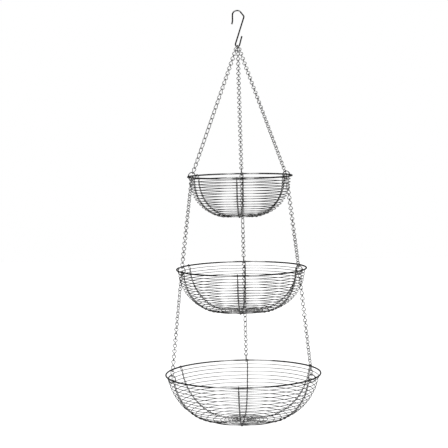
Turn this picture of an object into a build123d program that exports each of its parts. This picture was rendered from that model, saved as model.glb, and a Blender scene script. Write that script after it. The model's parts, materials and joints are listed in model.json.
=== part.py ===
from build123d import *
from collections import namedtuple
import math
import os

os.makedirs("parts", exist_ok=True)

# Three-tier hanging wire basket, in millimetres.
# The origin is where the hook rests on its support: the inside top of its upper bend.
# +Z is up, the front is -Y, and the baskets hang on the Z axis.

# Driving dimensions: wire and ring sizes
HOOK_WIRE_R = 1.4
RIM_WIRE_R = 1.5
HOOP_WIRE_R = 0.65
RIB_WIRE_R = 0.7
LINK_WIRE_R = 0.65
RING_WIRE_R = 1.0
RING_R = 7.4
FIT_GAP = 0.2

# Hook: an S in the XZ plane, with its upper mouth open towards -X
EYE_R = 4.1
EYE_Z = -63.5
SHANK_LEAN = 18.5
SHANK_LENGTH = 55.0
TIP_LEAN = 15.5
TIP_LENGTH = 17.5
CROWN_LEFT_X = -9.0
CROWN_RIGHT_X = 4.6
MOUTH_DEPTH = 20.0
TIP_CURL_X = 1.5
TIP_CURL_Z = 6.0
TIP_CURL_R = 6.0
CROWN_LEFT_R = 8.5
CROWN_RIGHT_R = 7.5
SHOULDER_R = 4.0

# Chain: links of round wire, each twisted a quarter turn along its length
LINK_LENGTH = 12.0
LINK_BEND_R = 3.5
PIVOT_GAP = 0.25
OPEN_END_GAP = 1.3
HOOK_FAN = 18.0
UPPER_FIRST_GAP = 1.1
ROLL_LIMIT = 91.0

# Baskets: round bowls of hoops, with ribs that clasp every hoop
RIB_COUNT = 6
SHOULDER = 7.0
RIM_FLARE = 50.0
FLARE_BEND_R = 2.5
LOOP_FILL = 0.98
CENTRE_R = 9.0
RING_SIDE_STEP = 3.0
RING_OUT = 2.9
RING_UP = 3.5
HOOP_SPREAD = 0.9

# name: rim radius and height, depth of the base below the rim, radius of the flat base, radius of
# the arc from the top hoop down to the base, number of wall hoops, number of base hoops
BASKETS = {
    "small": dict(rim_r=101.6, rim_z=-318.7, drop=78.0, flat_r=27.0, bend_r=71.0, walls=17, bases=3),
    "medium": dict(rim_r=127.0, rim_z=-500.0, drop=83.0, flat_r=41.0, bend_r=83.0, walls=18, bases=4),
    "large": dict(rim_r=152.4, rim_z=-708.0, drop=92.0, flat_r=46.0, bend_r=104.0, walls=16, bases=5),
}
CHAIN_TIERS = {"upper": "small", "middle": "medium", "lower": "large"}
CHAIN_SIDES = {"left": -60.0, "right": 60.0, "back": 180.0}
RIB_NAMES = ["front", "front_right", "back_right", "back", "back_left", "front_left"]

QUARTER_TURN = 90.0
HALF_TURN = 180.0

# A chain's links: its direction, the middle of its first link, its pitch from the second link on,
# the extra gap under the first link, and the number of links
ChainRun = namedtuple("ChainRun", "way first pitch first_gap count")


def unit(angle):
    """Horizontal unit vector at an angle in degrees from the front, positive towards +X."""
    a = math.radians(angle)
    return Vector(math.sin(a), -math.cos(a), 0)


def turned(vector, axis, degrees):
    """A vector turned about a unit axis that it is square to."""
    a = math.radians(degrees)
    return vector * math.cos(a) + axis.cross(vector) * math.sin(a)


def save(name, solids):
    """Write one node: a single solid, or a group of separate solids."""
    shape = solids[0] if len(solids) == 1 else Compound(children=solids)
    shape.label = name
    export_step(shape, f"parts/{name}.step")


def wire_along(path, radius):
    """A round wire along a smooth path."""
    section = Plane(origin=path @ 0, z_dir=path % 0) * Circle(radius)
    return sweep(section, path=path).solid()


def joined(*curves):
    """One wire path made from several curves that meet end to end."""
    return Wire([edge for curve in curves for edge in curve.edges()])


# ---- hook -------------------------------------------------------------------------------

def hook_point(x, z):
    return Vector(x, 0, z)


def ceiling_hook():
    lean = math.radians(SHANK_LEAN)
    tip = math.radians(TIP_LEAN)
    eye = hook_point(0, EYE_Z)
    shank_foot = eye + EYE_R * hook_point(-math.cos(lean), math.sin(lean))
    shoulder = shank_foot + SHANK_LENGTH * hook_point(math.sin(lean), math.cos(lean))
    tip_foot = eye + EYE_R * hook_point(math.cos(tip), -math.sin(tip))
    tip_end = tip_foot + TIP_LENGTH * hook_point(math.sin(tip), math.cos(tip))
    crown = HOOK_WIRE_R
    upper = FilletPolyline(
        hook_point(CROWN_LEFT_X - TIP_CURL_X, crown - MOUTH_DEPTH - TIP_CURL_Z),
        hook_point(CROWN_LEFT_X, crown - MOUTH_DEPTH),
        hook_point(CROWN_LEFT_X, crown),
        hook_point(CROWN_RIGHT_X, crown),
        shoulder,
        shank_foot,
        radius=[TIP_CURL_R, CROWN_LEFT_R, CROWN_RIGHT_R, SHOULDER_R],
    )
    lower = ThreePointArc(shank_foot, hook_point(0, EYE_Z - EYE_R), tip_foot)
    return wire_along(joined(upper, lower, Line(tip_foot, tip_end)), HOOK_WIRE_R)


# ---- chain ------------------------------------------------------------------------------

def master_link():
    """One link about its own middle: end bends a quarter turn apart, joined by S-shaped sides."""
    half = LINK_LENGTH / 2
    side = LINK_BEND_R * math.sqrt(0.5)
    shoulder = half - LINK_BEND_R
    quarter = LINK_BEND_R * 0.5
    crest = shoulder + side
    middle = Vector(side, 0, 0)
    path = joined(
        ThreePointArc((0, 0, half), (quarter, quarter, crest), (side, side, shoulder)),
        TangentArc((side, side, shoulder), middle, tangent=(0, 0, -1)),
        TangentArc((side, -side, -shoulder), middle, tangent=(0, 0, 1)),
        ThreePointArc((side, -side, -shoulder), (quarter, -quarter, -crest), (0, 0, -half)),
    )
    side_wire = wire_along(path, LINK_WIRE_R)
    return (side_wire + side_wire.rotate(Axis.Z, HALF_TURN)).solid()


MASTER_LINK = master_link()


def chain_run(start, end, start_wire_r, first_gap, end_gap):
    """The places of a chain's links between the wire at start and the wire at end."""
    way = (end - start).normalized()
    top = start - way * (start_wire_r + LINK_WIRE_R + PIVOT_GAP)
    bottom = end + way * (RING_WIRE_R + LINK_WIRE_R + end_gap)
    taut = LINK_LENGTH - 2 * LINK_WIRE_R
    spare = (bottom - top).length - LINK_LENGTH + first_gap
    steps = math.ceil(spare / (taut - PIVOT_GAP))
    return ChainRun(way, top + way * (LINK_LENGTH / 2), spare / steps, first_gap, steps + 1)


def link_middle(run, index):
    if index == 0:
        return run.first
    return run.first + run.way * (index * run.pitch - run.first_gap)


def link_pivot(run, index):
    """Where link number index bears on the link above it."""
    above = link_middle(run, index - 1) + run.way * (LINK_LENGTH / 2)
    below = link_middle(run, index) - run.way * (LINK_LENGTH / 2)
    return (above + below) / 2


def square_to(way, vector):
    """The part of a vector that is square to a unit direction, at unit length."""
    return (vector - way * vector.dot(way)).normalized()


def chain_links(run, first_spread, last_spread):
    """The links of a chain, rolled evenly so that each end bend stands square to the wire it holds.

    first_spread and last_spread are the directions across the first link's top bend and the last
    link's bottom bend.
    """
    up = run.way * -1
    first_across = square_to(run.way, first_spread)
    last_top = turned(square_to(run.way, last_spread), up, QUARTER_TURN)
    sine = up.dot(first_across.cross(last_top))
    roll = math.degrees(math.atan2(sine, first_across.dot(last_top)))
    if roll > ROLL_LIMIT:
        roll = roll - HALF_TURN
    if roll < -ROLL_LIMIT:
        roll = roll + HALF_TURN
    links = []
    for index in range(run.count):
        across = turned(first_across, up, roll * index / (run.count - 1) - QUARTER_TURN / 2)
        place = Plane(origin=link_middle(run, index), x_dir=across, z_dir=up)
        links.append(MASTER_LINK.moved(place.location))
    return links


def ring_plane_shift(basket):
    """Degrees that an attachment ring stands beside its rib."""
    return math.degrees(math.asin(RING_SIDE_STEP / basket["rim_r"]))


def ring_centre(basket, side):
    angle = CHAIN_SIDES[side] + ring_plane_shift(basket)
    return unit(angle) * (basket["rim_r"] + RING_OUT) + Vector(0, 0, basket["rim_z"] + RING_UP)


def hook_seat(side):
    """Where each upper chain hangs on the hook's lower bend."""
    fan = math.radians({"left": -HOOK_FAN, "right": HOOK_FAN, "back": 0.0}[side])
    return Vector(EYE_R * math.sin(fan), 0, EYE_Z - EYE_R * math.cos(fan))


def tier_chain(tier, side):
    """Where one chain starts and ends, in the wires that it holds, and its run."""
    lower_ring = ring_centre(BASKETS[CHAIN_TIERS[tier]], side)
    if tier == "upper":
        start = hook_seat(side)
        end = lower_ring + (start - lower_ring).normalized() * RING_R
        return start, end, chain_run(start, end, HOOK_WIRE_R, UPPER_FIRST_GAP, PIVOT_GAP)
    upper_name = "small" if tier == "middle" else "medium"
    upper_ring = ring_centre(BASKETS[upper_name], side)
    way = (lower_ring - upper_ring).normalized()
    start = upper_ring + way * RING_R
    end = lower_ring - way * RING_R
    end_gap = PIVOT_GAP if side == "back" else OPEN_END_GAP
    return start, end, chain_run(start, end, RING_WIRE_R, 0.0, end_gap)


def build_chains():
    top_links = []
    for tier in CHAIN_TIERS:
        for side, angle in CHAIN_SIDES.items():
            run = tier_chain(tier, side)[-1]
            around = unit(angle + QUARTER_TURN)
            first_spread = Vector(0, 1, 0) if tier == "upper" else around
            links = chain_links(run, first_spread, around)
            if tier == "upper":
                top_links.append(links[0])
                save(f"upper_chain_{side}", links[1:])
                continue
            save(f"{tier}_first_link_{side}", links[:1])
            if side == "back":
                save(f"{tier}_chain_back", links[1:-1])
                save(f"{tier}_end_link_back", links[-1:])
            else:
                save(f"{tier}_chain_{side}", links[1:])
    save("top_links", top_links)


# ---- basket -----------------------------------------------------------------------------

def arc_start(basket):
    """Angle from level, in radians, at which the top hoop stands on the arc of the wall."""
    return math.asin((SHOULDER + basket["bend_r"] - basket["drop"]) / basket["bend_r"])


def wall_stations(basket):
    """Radius and depth of each wall hoop: evenly pitched at the top and wider towards the base."""
    bend_r = basket["bend_r"]
    first = arc_start(basket)
    count = basket["walls"] - 1
    steps = [0.0] + [1 + HOOP_SPREAD * (i / count) ** 3 for i in range(1, count + 1)]
    scale = (math.pi / 2 - first) / sum(steps)
    stations = []
    turn = first
    for step in steps:
        turn += step * scale
        depth = basket["drop"] - bend_r + bend_r * math.sin(turn)
        stations.append((basket["flat_r"] + bend_r * math.cos(turn), depth))
    return stations


def hoop(radius, z, wire_r):
    return Pos(0, 0, z) * Torus(radius, wire_r).solid()


def crossing(point, way, other_point, other_way):
    """Where two lines cross in the upright plane of a rib, each given by a point and its direction."""
    apart = (other_point[0] - point[0], other_point[1] - point[1])
    spread = way[0] * other_way[1] - way[1] * other_way[0]
    reach = (apart[0] * other_way[1] - apart[1] * other_way[0]) / spread
    return (point[0] + way[0] * reach, point[1] + way[1] * reach)


def rib_side(basket, side):
    """Corners of the run inside (-1) or outside (+1) the hoops, as radius and height from the rim.

    They come from the centre outwards: centre, foot of the wall, foot of the flare, loop corner.
    """
    half = HOOP_WIRE_R + RIB_WIRE_R + FIT_GAP
    loop = RIM_WIRE_R + RIB_WIRE_R + FIT_GAP
    lean = arc_start(basket)
    flare = math.radians(RIM_FLARE)
    wall_way = (math.sin(lean), math.cos(lean))
    flare_way = (math.sin(flare), math.cos(flare))
    top_r, top_depth = wall_stations(basket)[0]
    wall = (top_r + side * half * wall_way[1], -top_depth - side * half * wall_way[0])
    rim = (basket["rim_r"] + side * loop * flare_way[1], -side * loop * flare_way[0])
    centre = (CENTRE_R, -basket["drop"] - side * half)
    wall_foot = crossing(centre, (1, 0), wall, wall_way)
    flare_foot = crossing(wall, wall_way, rim, flare_way)
    loop_corner = (rim[0] + loop * flare_way[0], rim[1] + loop * flare_way[1])
    return [centre, wall_foot, flare_foot, loop_corner]


def rib(basket, angle):
    """One long wire folded over the rim: it holds the hoops from inside and outside the bowl."""
    half = HOOP_WIRE_R + RIB_WIRE_R + FIT_GAP
    loop_r = (RIM_WIRE_R + RIB_WIRE_R + FIT_GAP) * LOOP_FILL
    corners = rib_side(basket, -1) + rib_side(basket, 1)[::-1]
    inner_bend = basket["bend_r"] - half
    outer_bend = basket["bend_r"] + half
    out = unit(angle)
    points = [out * r + Vector(0, 0, basket["rim_z"] + z) for r, z in corners]
    radii = [inner_bend, FLARE_BEND_R, loop_r, loop_r, FLARE_BEND_R, outer_bend]
    return wire_along(FilletPolyline(*points, radius=radii), RIB_WIRE_R)


def attachment_ring(basket, side):
    angle = CHAIN_SIDES[side] + ring_plane_shift(basket)
    place = Plane(origin=ring_centre(basket, side), x_dir=(0, 0, 1), z_dir=unit(angle + QUARTER_TURN))
    return Torus(RING_R, RING_WIRE_R).solid().moved(place.location)


def build_basket(name, basket):
    rim_z = basket["rim_z"]
    save(f"{name}_rim", [hoop(basket["rim_r"], rim_z, RIM_WIRE_R)])
    stations = wall_stations(basket)
    save(f"{name}_wall_hoops", [hoop(r, rim_z - depth, HOOP_WIRE_R) for r, depth in stations])
    base_z = rim_z - stations[-1][1]
    step = (basket["flat_r"] - CENTRE_R) / basket["bases"]
    radii = [CENTRE_R + i * step for i in range(basket["bases"])]
    save(f"{name}_base_hoops", [hoop(r, base_z, HOOP_WIRE_R) for r in radii])
    for index, place in enumerate(RIB_NAMES):
        save(f"{name}_rib_{place}", [rib(basket, index * 360 / RIB_COUNT)])
    for side in CHAIN_SIDES:
        save(f"{name}_ring_{side}", [attachment_ring(basket, side)])


save("ceiling_hook", [ceiling_hook()])
build_chains()
for basket_name, basket_sizes in BASKETS.items():
    build_basket(basket_name, basket_sizes)
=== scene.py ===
import json
import math
import random
from functools import lru_cache

import bpy
import numpy as np
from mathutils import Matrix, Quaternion, Vector


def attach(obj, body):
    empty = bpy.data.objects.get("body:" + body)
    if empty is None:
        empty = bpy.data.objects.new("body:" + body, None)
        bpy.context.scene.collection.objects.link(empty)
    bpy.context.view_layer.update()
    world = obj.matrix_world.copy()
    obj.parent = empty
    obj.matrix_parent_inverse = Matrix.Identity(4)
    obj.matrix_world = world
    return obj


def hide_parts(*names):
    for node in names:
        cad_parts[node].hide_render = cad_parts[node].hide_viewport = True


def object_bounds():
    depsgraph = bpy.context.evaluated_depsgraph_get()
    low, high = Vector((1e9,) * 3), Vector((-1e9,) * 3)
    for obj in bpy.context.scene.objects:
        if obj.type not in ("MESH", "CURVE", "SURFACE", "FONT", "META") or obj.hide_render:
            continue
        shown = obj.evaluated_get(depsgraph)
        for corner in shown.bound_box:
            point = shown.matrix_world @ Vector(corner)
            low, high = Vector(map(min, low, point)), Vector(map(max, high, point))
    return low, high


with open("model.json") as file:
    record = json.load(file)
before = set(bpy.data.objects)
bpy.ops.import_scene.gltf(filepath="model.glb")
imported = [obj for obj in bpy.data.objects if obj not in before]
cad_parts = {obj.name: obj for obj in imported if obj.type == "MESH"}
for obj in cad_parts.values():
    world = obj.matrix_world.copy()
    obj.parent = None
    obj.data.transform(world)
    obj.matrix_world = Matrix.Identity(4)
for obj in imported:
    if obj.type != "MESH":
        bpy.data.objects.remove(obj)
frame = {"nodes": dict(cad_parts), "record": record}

CAD_BOX = [list(corner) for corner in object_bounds()]
BODY_OF = {n: body for body, nodes in frame["record"]["behaviour"]["bodies"].items() for n in nodes}

# Wire sizes, in metres
HOOP_R = 0.00065
RIB_R = 0.0007
RIM_R = 0.0015
LINK_R = 0.00065
RING_R = 0.0010
LINK_HALF = 0.0060
LINK_BEND = 0.0035

# How finely the wires are drawn: steps round a wire, and steps along it
RIM_SIDES, RIM_STEPS = 16, 288
HOOP_SIDES, HOOP_STEPS = 10, 180
RIB_SIDES, RIB_STEPS_PER_HOOP = 9, 12
LINK_SIDES = 12
RING_SIDES, RING_STEPS = 14, 72
RIM_LOOP_STEPS, CENTRE_LOOP_STEPS = 19, 9
LINK_BEND_STEPS, LINK_SIDE_STEPS = 15, 10

# Small faults of the work: (size in metres, waves round the hoop), and the nip at each rib
HOOP_SLACK = ((0.00018, 2), (0.00010, 5))
HOOP_SWAY = ((0.00022, 2), (0.00010, 7))
HOOP_NIP = 0.00016
EVEN_HOOP_RADIUS = 0.06
# Welds: how far the bead reaches along the wire, in metres, and how much thicker the wire is there
HOOP_WELD_REACH, HOOP_WELD_SWELL = 0.0012, 0.16
HOOP_WELD_FROM_RIB = (8, 20)
RIM_WELD_REACH, RIM_WELD_SWELL = 0.0022, 0.10
RIM_WELD_DEGREES = 150
RING_SEAM = 0.011
# A cut end is rounded by two more rings: (reach past the end, radius), in wire radii
END_RINGS = ((0.30, 0.90), (0.48, 0.62))

BASKETS = ("small", "medium", "large")
SIDES = ("left", "right", "back")
RIB_PLACES = ("front", "front_right", "back_right", "back", "back_left", "front_left")
RIB_COUNT = len(RIB_PLACES)


# ---- camera ------------------------------------------------------------------------------

CAMERA_DISTANCE = 2.887
CAMERA_AZIMUTH = 3.5
CAMERA_Z = -0.181
AIM_SIDE = -0.0326
AIM_Z = -0.412
CAMERA_ROLL = 1.05
LENS_MM = 119.0


def make_camera():
    azimuth = math.radians(CAMERA_AZIMUTH)
    back = Vector((math.sin(azimuth), -math.cos(azimuth), 0))
    right = Vector((math.cos(azimuth), math.sin(azimuth), 0))
    place = back * CAMERA_DISTANCE + Vector((0, 0, CAMERA_Z))
    aim = right * AIM_SIDE + Vector((0, 0, AIM_Z))
    data = bpy.data.cameras.new("camera")
    data.sensor_width = 36.0
    data.lens = LENS_MM
    camera = bpy.data.objects.new("camera", data)
    bpy.context.collection.objects.link(camera)
    look = (aim - place).to_track_quat("-Z", "Y")
    roll = Quaternion((0, 0, 1), math.radians(-CAMERA_ROLL))
    camera.rotation_mode = "QUATERNION"
    camera.rotation_quaternion = look @ roll
    camera.location = place
    bpy.context.scene.camera = camera


# ---- materials ---------------------------------------------------------------------------

# Noise scales of the plate's cloudy film and dark flecks, and how much the flecks count
FILM_SCALE, FLECK_SCALE, FLECK_SHARE = 90.0, 900.0, 0.55
# The marks that drawing leaves: how strongly they shade, and how deep they are in metres
MARK_STRENGTH, MARK_DEPTH = 0.22, 0.00004


def node(tree, kind, **values):
    made = tree.nodes.new(kind)
    for name, value in values.items():
        if name in made.inputs:
            made.inputs[name].default_value = value
        else:
            setattr(made, name, value)
    return made


def noise(tree, coords, scale, detail=3.0, roughness=0.55):
    made = node(tree, "ShaderNodeTexNoise", Scale=scale, Detail=detail, Roughness=roughness)
    tree.links.new(coords, made.inputs["Vector"])
    return made.outputs["Fac"]


def ramp(tree, factor, stops):
    made = tree.nodes.new("ShaderNodeValToRGB")
    points = made.color_ramp.elements
    while len(points) < len(stops):
        points.new(0.5)
    for point, (place, colour) in zip(points, stops):
        point.position = place
        point.color = (*colour, 1.0)
    tree.links.new(factor, made.inputs["Fac"])
    return made.outputs["Color"]


def blended(tree, factor, first, second, mode="MIX"):
    made = tree.nodes.new("ShaderNodeMix")
    made.data_type = "RGBA"
    made.blend_type = mode
    sockets = [s for s in made.inputs if s.enabled]
    for socket, value in zip(sockets, (factor, first, second)):
        if isinstance(value, bpy.types.NodeSocket):
            tree.links.new(value, socket)
        else:
            socket.default_value = value
    return next(s for s in made.outputs if s.enabled)


def math_node(tree, operation, *values):
    """A Math node on numbers or sockets."""
    made = node(tree, "ShaderNodeMath", operation=operation)
    for socket, value in zip(made.inputs, values):
        if isinstance(value, bpy.types.NodeSocket):
            tree.links.new(value, socket)
        else:
            socket.default_value = value
    return made.outputs[0]


def grey(value, warmth=0.0):
    return (value * (1 + warmth), value, value * (1 - warmth))


def chrome(name, plate, haze, draw_scale, worn, rough=(0.05, 0.16)):
    """Bright nickel-chrome plate on drawn wire.

    plate is its reflectance, haze how cloudy its film is, draw_scale the noise scale of the marks
    that drawing and polishing leave (higher is finer), worn how dull it is where wires rub (the
    "wear" attribute), and rough the roughness of its clearest and its cloudiest film.
    """
    material = bpy.data.materials.new(name)
    material.use_nodes = True
    tree = material.node_tree
    shader = tree.nodes["Principled BSDF"]
    shader.inputs["Metallic"].default_value = 1.0
    coords = tree.nodes.new("ShaderNodeTexCoord").outputs["Object"]
    wear = node(tree, "ShaderNodeAttribute", attribute_name="wear").outputs["Fac"]

    film = noise(tree, coords, FILM_SCALE, detail=4.0)
    flecks = noise(tree, coords, FLECK_SCALE, detail=2.0)
    plated = ramp(tree, film, [(0.30, grey(plate * 0.86, 0.012)), (0.52, grey(plate)),
                               (0.72, grey(plate * 0.95, -0.015))])
    specked = ramp(tree, flecks, [(0.30, grey(0.80)), (0.42, grey(1.0))])
    clean = blended(tree, FLECK_SHARE, plated, specked, mode="MULTIPLY")
    rubbed = ramp(tree, flecks, [(0.35, (0.20, 0.185, 0.16)), (0.65, (0.46, 0.44, 0.40))])
    amount = math_node(tree, "MULTIPLY", wear, worn)
    tree.links.new(blended(tree, amount, clean, rubbed), shader.inputs["Base Color"])

    smear = ramp(tree, film, [(0.35, grey(rough[0])), (0.70, grey(rough[1] + haze))])
    dull = ramp(tree, flecks, [(0.40, grey(0.28)), (0.70, grey(0.48))])
    tree.links.new(blended(tree, amount, smear, dull), shader.inputs["Roughness"])

    marks = noise(tree, coords, draw_scale, detail=2.0, roughness=0.7)
    bump = node(tree, "ShaderNodeBump", Strength=MARK_STRENGTH, Distance=MARK_DEPTH)
    tree.links.new(marks, bump.inputs["Height"])
    tree.links.new(bump.outputs["Normal"], shader.inputs["Normal"])
    return material


# ---- wire meshes -------------------------------------------------------------------------

def carried_frames(points, closed):
    """Square directions carried along a line without twist, and closed up evenly on a loop."""
    count = len(points)
    if closed:
        tangents = np.roll(points, -1, 0) - np.roll(points, 1, 0)
    else:
        tangents = np.gradient(points, axis=0)
    tangents /= np.linalg.norm(tangents, axis=1)[:, None]
    first = np.cross(tangents[0], (0.0, 0.0, 1.0))
    if np.linalg.norm(first) < 0.1:
        first = np.cross(tangents[0], (1.0, 0.0, 0.0))
    across = np.empty_like(points)
    across[0] = first / np.linalg.norm(first)
    for i in range(1, count):
        step = across[i - 1] - tangents[i] * across[i - 1].dot(tangents[i])
        across[i] = step / np.linalg.norm(step)
    other = np.cross(tangents, across)
    if closed:
        back = across[-1] - tangents[0] * across[-1].dot(tangents[0])
        gap = math.atan2(back.dot(other[0]), back.dot(across[0]))
        turn = -gap * np.arange(count) / count
        cos, sin = np.cos(turn)[:, None], np.sin(turn)[:, None]
        across, other = across * cos + other * sin, other * cos - across * sin
    return tangents, across, other


class Wires:
    """Collects round wires and turns them into one mesh, with a wear value at every point."""

    def __init__(self):
        self.points, self.faces, self.wear, self.count = [], [], [], 0

    def add(self, line, radius, sides, closed=False, wear=None):
        line = np.asarray(line, float)
        count = len(line)
        radius = np.broadcast_to(np.asarray(radius, float), (count,)).copy()
        wear = np.zeros(count) if wear is None else np.asarray(wear, float)
        tangents, across, other = carried_frames(line, closed)
        if not closed:
            line, radius, wear, across, other = self.rounded_ends(
                line, radius, wear, tangents, across, other)
            count = len(line)
        angles = np.linspace(0, 2 * math.pi, sides, endpoint=False)
        circle = (across[:, None] * np.cos(angles)[None, :, None]
                  + other[:, None] * np.sin(angles)[None, :, None])
        self.points.append((line[:, None] + circle * radius[:, None, None]).reshape(-1, 3))
        self.wear.append(np.repeat(wear, sides))
        rows = count if closed else count - 1
        ring, side = np.meshgrid(np.arange(rows), np.arange(sides), indexing="ij")
        after, beside = (ring + 1) % count, (side + 1) % sides
        corners = [ring * sides + side, ring * sides + beside,
                   after * sides + beside, after * sides + side]
        quads = np.stack(corners, -1).reshape(-1, 4) + self.count
        self.faces += quads.tolist()
        if not closed:
            last = self.count + (count - 1) * sides
            self.faces.append(list(range(self.count + sides - 1, self.count - 1, -1)))
            self.faces.append(list(range(last, last + sides)))
        self.count += count * sides

    @staticmethod
    def rounded_ends(line, radius, wear, tangents, across, other):
        """Two more rings at each end, so that a cut end is softly rounded off."""
        heads = [(line[0] - tangents[0] * radius[0] * reach, radius[0] * shrink)
                 for reach, shrink in reversed(END_RINGS)]
        tails = [(line[-1] + tangents[-1] * radius[-1] * reach, radius[-1] * shrink)
                 for reach, shrink in END_RINGS]
        before = behind = len(END_RINGS)
        line = np.vstack([[p for p, _ in heads], line, [p for p, _ in tails]])
        radius = np.concatenate([[r for _, r in heads], radius, [r for _, r in tails]])
        wear = np.pad(wear, (before, behind), mode="edge")
        across = np.vstack([[across[0]] * before, across, [across[-1]] * behind])
        other = np.vstack([[other[0]] * before, other, [other[-1]] * behind])
        return line, radius, wear, across, other

    def piece(self, name, material, stands_for):
        """Makes the mesh object, which rides with the CAD node that it stands for."""
        mesh = bpy.data.meshes.new(name)
        mesh.from_pydata(np.vstack(self.points).tolist(), [], self.faces)
        values = mesh.attributes.new("wear", "FLOAT", "POINT").data
        values.foreach_set("value", np.concatenate(self.wear))
        mesh.shade_smooth()
        mesh.materials.append(material)
        mesh.update()
        made = bpy.data.objects.new(name, mesh)
        bpy.context.collection.objects.link(made)
        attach(made, BODY_OF[stands_for])
        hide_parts(stands_for)
        return made


# ---- what the CAD nodes say ----------------------------------------------------------------

@lru_cache(maxsize=None)
def separate_solids(name):
    """The points of each separate solid in a CAD node, as a list of arrays."""
    mesh = frame["nodes"][name].data
    points = np.empty(len(mesh.vertices) * 3)
    mesh.vertices.foreach_get("co", points)
    points = points.reshape(-1, 3)
    edges = np.empty(len(mesh.edges) * 2, int)
    mesh.edges.foreach_get("vertices", edges)
    places, same = np.unique(np.round(points, 7), axis=0, return_inverse=True)
    same = same.reshape(-1)
    group = np.arange(len(places))
    first, second = same[edges[0::2]], same[edges[1::2]]
    while True:
        lowest = np.minimum(group[first], group[second])
        before = group.copy()
        np.minimum.at(group, first, lowest)
        np.minimum.at(group, second, lowest)
        group = group[group]
        if np.array_equal(group, before):
            break
    return [places[group == g] for g in np.unique(group)]


def principal_ways(points):
    """The directions in which points spread, as columns, from the least to the most."""
    return np.linalg.eigh(np.cov((points - points.mean(0)).T))[1]


@lru_cache(maxsize=None)
def hoop_sizes(name):
    """(radius, height) of each hoop's wire centre in a node, from the top down, then outside in."""
    sizes = []
    for points in separate_solids(name):
        spread = np.hypot(points[:, 0], points[:, 1])
        height = points[:, 2]
        sizes.append(((spread.max() + spread.min()) / 2, (height.max() + height.min()) / 2))
    return sorted(sizes, key=lambda s: (-round(s[1], 5), -s[0]))


# ---- hoops, rims and rings -----------------------------------------------------------------

def around(radius, z, angle):
    """Points at angles from the front, positive towards +X."""
    return np.stack([radius * np.sin(angle), -radius * np.cos(angle), z + 0 * angle], -1)


def from_place(angle, place, radius):
    """How far along a hoop each angle lies from a place on it, in metres."""
    return np.abs((angle - place + math.pi) % (2 * math.pi) - math.pi) * radius


def from_rib(angle, radius):
    """How far along a hoop each angle lies from the nearest rib, in metres."""
    turn = (angle * RIB_COUNT / (2 * math.pi) + 0.5) % 1.0 - 0.5
    return np.abs(turn) * 2 * math.pi / RIB_COUNT * radius


def hoop_line(radius, z, chance):
    """Line, thickness and wear of a hoop: nearly round, nipped at each rib, with one butt weld."""
    angle = np.linspace(0, 2 * math.pi, HOOP_STEPS, endpoint=False)
    drift = chance.uniform(0, 2 * math.pi)
    (slack_a, waves_a), (slack_b, waves_b) = HOOP_SLACK
    slack = (slack_a * np.sin(waves_a * angle + drift)
             + slack_b * np.sin(waves_b * angle + 2 * drift))
    nip = HOOP_NIP * np.cos(RIB_COUNT * angle)
    (sway_a, waves_a), (sway_b, waves_b) = HOOP_SWAY
    sway = sway_a * np.sin(waves_a * angle + 1.7 * drift) + sway_b * np.sin(waves_b * angle + drift)
    line = around(radius + (slack - nip) * min(1.0, radius / EVEN_HOOP_RADIUS), z + sway, angle)
    weld_at = math.radians(360 // RIB_COUNT * chance.randrange(RIB_COUNT)
                           + chance.choice((-1, 1)) * chance.uniform(*HOOP_WELD_FROM_RIB))
    weld = np.exp(-((from_place(angle, weld_at, radius) / HOOP_WELD_REACH) ** 2))
    wear = np.clip(1.2 - from_rib(angle, radius) / 0.0016, 0, 1) * 0.8 + weld * 0.6
    return line, HOOP_R * (1 + HOOP_WELD_SWELL * weld), np.clip(wear, 0, 1)


def make_hoops(basket, kind, material):
    name = f"{basket}_{kind}"
    chance = random.Random(name)
    wires = Wires()
    for radius, z in hoop_sizes(name):
        line, thickness, wear = hoop_line(radius, z, chance)
        wires.add(line, thickness, HOOP_SIDES, closed=True, wear=wear)
    wires.piece(f"{name}_wires", material, name)


def make_rim(basket, material):
    """The heavy rim wire, a little thicker at its weld, which is near the back."""
    radius, z = hoop_sizes(f"{basket}_rim")[0]
    angle = np.linspace(0, 2 * math.pi, RIM_STEPS, endpoint=False)
    away = from_place(angle, math.radians(RIM_WELD_DEGREES), radius)
    weld = np.exp(-((away / RIM_WELD_REACH) ** 2))
    wear = np.clip(np.clip(1.3 - from_rib(angle, radius) / 0.0022, 0, 1) * 0.6 + weld * 0.8, 0, 1)
    thickness = RIM_R * (1 + RIM_WELD_SWELL * weld)
    wires = Wires()
    wires.add(around(radius, z, angle), thickness, RIM_SIDES, closed=True, wear=wear)
    wires.piece(f"{basket}_rim_wire", material, f"{basket}_rim")


def make_ring(basket, side, material):
    """An attachment ring bent from wire, its two ends meeting at a fine seam on the outer side."""
    name = f"{basket}_ring_{side}"
    points = separate_solids(name)[0]
    centre = (points.max(0) + points.min(0)) / 2
    normal = principal_ways(points)[:, 0]
    outward = np.array([centre[0], centre[1], 0.0])
    outward -= normal * outward.dot(normal)
    outward /= np.linalg.norm(outward)
    upward = np.cross(normal, outward)
    radius = np.linalg.norm(points - centre, axis=1).max() - RING_R
    turn = np.linspace(RING_SEAM, 2 * math.pi - RING_SEAM, RING_STEPS)
    line = centre + radius * (np.cos(turn)[:, None] * outward + np.sin(turn)[:, None] * upward)
    wear = np.abs(np.sin(turn)) ** 24 * 0.9
    wires = Wires()
    wires.add(line, RING_R, RING_SIDES, wear=wear)
    wires.piece(f"{name}_wire", material, name)


# ---- ribs ----------------------------------------------------------------------------------

def rib_middle(basket):
    """The line that a rib follows: outwards along the base hoops, up the wall to the rim."""
    base = hoop_sizes(f"{basket}_base_hoops")[::-1]
    wall = hoop_sizes(f"{basket}_wall_hoops")[::-1]
    return base + wall


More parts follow.
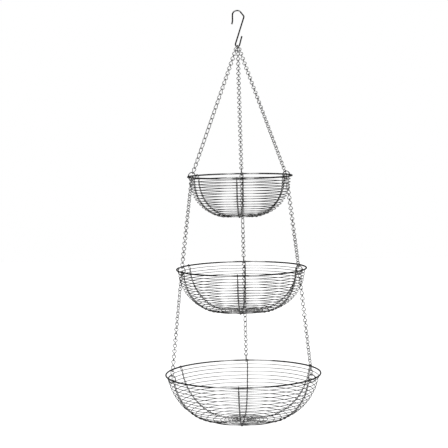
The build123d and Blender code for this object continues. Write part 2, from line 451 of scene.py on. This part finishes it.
def smooth_along(stations, steps):
    """Points along a smooth curve through the stations, with equally many steps in each gap."""
    knots = np.array(stations)
    before = 2 * knots[0] - knots[1]
    after = 2 * knots[-1] - knots[-2]
    padded = np.vstack([before, knots, after])
    t = np.linspace(0, 1, steps, endpoint=False)[:, None]
    rows = []
    for a, b, c, d in zip(padded, padded[1:], padded[2:], padded[3:]):
        rows.append(0.5 * (2 * b + (c - a) * t + (2 * a - 5 * b + 4 * c - d) * t ** 2
                           + (3 * b - a - 3 * c + d) * t ** 3))
    return np.vstack(rows + [knots[-1:]])


# The twisted pair: how far its wires stand apart sideways between hoops, in wire radii, how far the
# loop over the rim runs on past a half turn (radians), and how far its legs stand apart (metres)
PAIR_SPREAD = 1.30
RIM_LOOP_OVERRUN = 0.12
RIM_LOOP_APART = 0.00035


def make_rib(basket, place, index, material):
    """One wire folded over the rim and round the centre hoop, its halves twisted between hoops."""
    stations = rib_middle(basket)
    line = smooth_along(stations, RIB_STEPS_PER_HOOP)
    count = len(line)
    along = np.gradient(line, axis=0)
    along /= np.linalg.norm(along, axis=1)[:, None]
    inward = np.stack([-along[:, 1], along[:, 0]], -1)
    phase = np.arange(count) / RIB_STEPS_PER_HOOP * math.pi
    clasp = HOOP_R + RIB_R
    cross = RIB_R * PAIR_SPREAD
    reach = np.cos(phase) * clasp
    side = np.sin(phase) * cross
    first = np.column_stack([line + inward * reach[:, None], side])
    second = np.column_stack([line - inward * reach[:, None], -side])
    if reach[-1] < 0:
        first, second = second, first
    rim_r, rim_z = hoop_sizes(f"{basket}_rim")[0]
    rim = np.array([rim_r, rim_z])
    lead = rim - line[-1]
    lead /= np.linalg.norm(lead)
    normal = np.array([-lead[1], lead[0]])
    loop = RIM_R + RIB_R
    turn = np.linspace(-RIM_LOOP_OVERRUN, math.pi + RIM_LOOP_OVERRUN, RIM_LOOP_STEPS)
    over = rim + loop * (np.cos(turn)[:, None] * normal + np.sin(turn)[:, None] * lead)
    over = np.column_stack([over, RIM_LOOP_APART * np.cos(turn)])
    centre = np.array(stations[0])
    back = -along[0]
    under_turn = np.linspace(math.pi * 0.08, math.pi * 0.92, CENTRE_LOOP_STEPS)
    start = inward[0] * (1 if first[0][:2].dot(inward[0]) > second[0][:2].dot(inward[0]) else -1)
    under = centre + clasp * (-np.cos(under_turn)[:, None] * start
                              + np.sin(under_turn)[:, None] * back)
    under = np.column_stack([under, 0 * under_turn])
    loop_points = np.vstack([first, over, second[::-1], under])
    angle = index * 2 * math.pi / RIB_COUNT
    out = np.array([math.sin(angle), -math.cos(angle), 0.0])
    tangent = np.array([math.cos(angle), math.sin(angle), 0.0])
    world = (loop_points[:, :1] * out + loop_points[:, 1:2] * np.array([0.0, 0.0, 1.0])
             + loop_points[:, 2:] * tangent)
    touch = np.abs(np.cos(phase)) ** 6 * 0.75
    wear = np.concatenate([touch, np.full(len(over), 0.45), touch[::-1], np.full(len(under), 0.5)])
    wires = Wires()
    wires.add(world, RIB_R, RIB_SIDES, closed=True, wear=wear)
    name = f"{basket}_rib_{place}"
    wires.piece(f"{name}_pair", material, name)


# ---- chain ---------------------------------------------------------------------------------

def link_line():
    """The wire centre of one twisted link about its own middle, and how worn it is at its ends."""
    half = LINK_HALF
    shoulder = half - LINK_BEND
    side = LINK_BEND * math.sqrt(0.5)
    bend = np.linspace(0, math.pi, LINK_BEND_STEPS)
    across, beyond = LINK_BEND * np.cos(bend) * math.sqrt(0.5), LINK_BEND * np.sin(bend)
    top = np.stack([across, across, shoulder + beyond], -1)
    fall = np.linspace(0, 1, LINK_SIDE_STEPS)[1:-1]
    drop = shoulder * (1 - 2 * fall)
    swing = side * np.cos(math.pi * fall)
    left = np.stack([np.full_like(fall, -side), -swing, drop], -1)
    bottom = np.stack([-across, across, -shoulder - beyond], -1)
    right = np.stack([np.full_like(fall, side), -swing, -drop], -1)
    line = np.vstack([top, left, bottom, right])
    wear = np.clip((np.abs(line[:, 2]) - half + 0.0008) / 0.0006, 0, 1)
    return line, wear


def make_chain(name, material):
    """Every link of a CAD chain node, set where that link is and turned as it is."""
    line, wear = link_line()
    wires = Wires()
    for points in separate_solids(name):
        middle = (points.max(0) + points.min(0)) / 2
        vectors = principal_ways(points)
        long_way, wide_way = vectors[:, 2], vectors[:, 1]
        if long_way[2] < 0:
            long_way = -long_way
        third = np.cross(long_way, wide_way)
        reach = points - middle
        centre = middle + sum(axis * (reach.dot(axis).max() + reach.dot(axis).min()) / 2
                              for axis in (wide_way, third, long_way))
        wires.add(centre + line[:, :1] * wide_way + line[:, 1:2] * third + line[:, 2:] * long_way,
                  LINK_R, LINK_SIDES, closed=True, wear=wear)
    wires.piece(f"{name}_twisted", material, name)


# ---- studio --------------------------------------------------------------------------------

FLOOR_DROP = 0.42
FLOOR_HALF = 7.0


def make_floor():
    """A plain white floor, which the wires don't mirror."""
    z = CAD_BOX[0][2] - FLOOR_DROP
    corners = [(x * FLOOR_HALF, y * FLOOR_HALF, z) for x, y in ((-1, -1), (1, -1), (1, 1), (-1, 1))]
    mesh = bpy.data.meshes.new("floor")
    mesh.from_pydata(corners, [], [(0, 1, 2, 3)])
    floor = bpy.data.objects.new("floor", mesh)
    bpy.context.collection.objects.link(floor)
    floor.visible_glossy = False
    material = bpy.data.materials.new("pale_floor")
    material.use_nodes = True
    shader = material.node_tree.nodes["Principled BSDF"]
    shader.inputs["Base Color"].default_value = (0.9, 0.9, 0.9, 1)
    shader.inputs["Roughness"].default_value = 0.9
    shader.inputs["Specular IOR Level"].default_value = 0.1
    shader.inputs["Emission Color"].default_value = (1, 1, 1, 1)
    shader.inputs["Emission Strength"].default_value = 1.0
    mesh.materials.append(material)


def rise(tree, value, low, high):
    """0 below low, 1 above high."""
    made = node(tree, "ShaderNodeMapRange")
    made.inputs["From Min"].default_value = low
    made.inputs["From Max"].default_value = high
    tree.links.new(value, made.inputs["Value"])
    return made.outputs["Result"]


# What the wires mirror. Two arched white cards stand left and right of the camera: a direction is
# on a card by how far round it lies, from -1 on the left to 1 on the right, and how steep it is.
CARDS = [
    (-0.39, 0.0), (-0.36, 1.0), (-0.14, 1.0), (-0.11, 0.0),
    (0.12, 0.0), (0.15, 1.0), (0.28, 1.0), (0.31, 0.0),
]
CARD_STEEPNESS = (0.36, 0.46)
CARD_GLOW = 0.92
# Behind the object, from where a direction's Y passes the edge, is a dim pale backdrop
BACKDROP_EDGE = (0.80, 0.93)
BACKDROP_GLOW = 0.04
# How light the rest of the room is, from straight down (0) to straight up (1)
ROOM = [(0.00, grey(0.02)), (0.40, grey(0.008)), (0.60, grey(0.008)), (1.00, grey(0.04))]


def make_world():
    """White behind the object; what the wires mirror is a dim room with white cards in it."""
    world = bpy.data.worlds.new("studio")
    bpy.context.scene.world = world
    world.use_nodes = True
    tree = world.node_tree
    tree.nodes.clear()
    parts = tree.nodes.new("ShaderNodeSeparateXYZ")
    tree.links.new(tree.nodes.new("ShaderNodeTexCoord").outputs["Generated"], parts.inputs[0])
    x, y, z = parts.outputs
    room = ramp(tree, rise(tree, z, -1.0, 1.0), ROOM)
    round_way = math_node(tree, "DIVIDE", x, math_node(tree, "SUBTRACT", 1.0001, y))
    stops = [((place + 1) / 2, grey(value * CARD_GLOW)) for place, value in CARDS]
    across = ramp(tree, rise(tree, round_way, -1.0, 1.0), stops)
    steep = rise(tree, math_node(tree, "ABSOLUTE", z), *CARD_STEEPNESS)
    cards = blended(tree, steep, (0.0, 0.0, 0.0, 1.0), across)
    backdrop = math_node(tree, "MULTIPLY", rise(tree, y, *BACKDROP_EDGE), BACKDROP_GLOW)
    lit = blended(tree, 1.0, room, cards, mode="ADD")
    lit = blended(tree, 1.0, lit, backdrop, mode="ADD")
    seen = tree.nodes.new("ShaderNodeLightPath").outputs["Is Camera Ray"]
    background = tree.nodes.new("ShaderNodeBackground")
    tree.links.new(blended(tree, seen, lit, (1.0, 1.0, 1.0, 1.0)), background.inputs["Color"])
    output = tree.nodes.new("ShaderNodeOutputWorld")
    tree.links.new(background.outputs[0], output.inputs["Surface"])


# Softboxes: bearing from the front (positive towards +X) and height angle in degrees, then
# distance, width and height in metres, and power in watts
SOFTBOXES = {
    "left_softbox": (-36.0, 54.0, 2.3, 1.35, 0.90, 1.2),
    "right_softbox": (35.0, 54.0, 2.3, 0.85, 0.90, 0.8),
}


def make_lights():
    middle = Vector((0, 0, (CAD_BOX[0][2] + CAD_BOX[1][2]) / 2))
    for name, (bearing, height, distance, width, tall, power) in SOFTBOXES.items():
        a, e = math.radians(bearing), math.radians(height)
        way = Vector((math.cos(e) * math.sin(a), -math.cos(e) * math.cos(a), math.sin(e)))
        data = bpy.data.lights.new(name, "AREA")
        data.shape = "RECTANGLE"
        data.size, data.size_y = width, tall
        data.energy = power
        light = bpy.data.objects.new(name, data)
        bpy.context.collection.objects.link(light)
        light.location = middle + way * distance
        light.rotation_mode = "QUATERNION"
        light.rotation_quaternion = (-way).to_track_quat("-Z", "Y")
        light.visible_camera = False


# ---- assembly ------------------------------------------------------------------------------

def main():
    make_camera()
    rim_chrome = chrome("chrome_rim", 0.80, 0.02, 2600.0, 0.55)
    hoop_chrome = chrome("chrome_hoop", 0.78, 0.04, 3400.0, 0.65)
    rib_chrome = chrome("chrome_rib", 0.76, 0.06, 3800.0, 0.75)
    ring_chrome = chrome("chrome_ring", 0.79, 0.03, 2600.0, 0.70)
    link_chrome = chrome("chrome_link", 0.74, 0.05, 3200.0, 0.80)
    hook_chrome = chrome("chrome_hook", 0.78, 0.03, 2200.0, 0.60)
    for basket in BASKETS:
        make_rim(basket, rim_chrome)
        make_hoops(basket, "wall_hoops", hoop_chrome)
        make_hoops(basket, "base_hoops", hoop_chrome)
        for index, place in enumerate(RIB_PLACES):
            make_rib(basket, place, index, rib_chrome)
        for side in SIDES:
            make_ring(basket, side, ring_chrome)
    for name in frame["nodes"]:
        if "chain" in name or "link" in name:
            make_chain(name, link_chrome)
    hook = frame["nodes"]["ceiling_hook"]
    for slot in hook.material_slots:
        slot.material = hook_chrome
    make_floor()
    make_world()
    make_lights()
    bpy.context.scene.view_settings.view_transform = "Standard"


main()
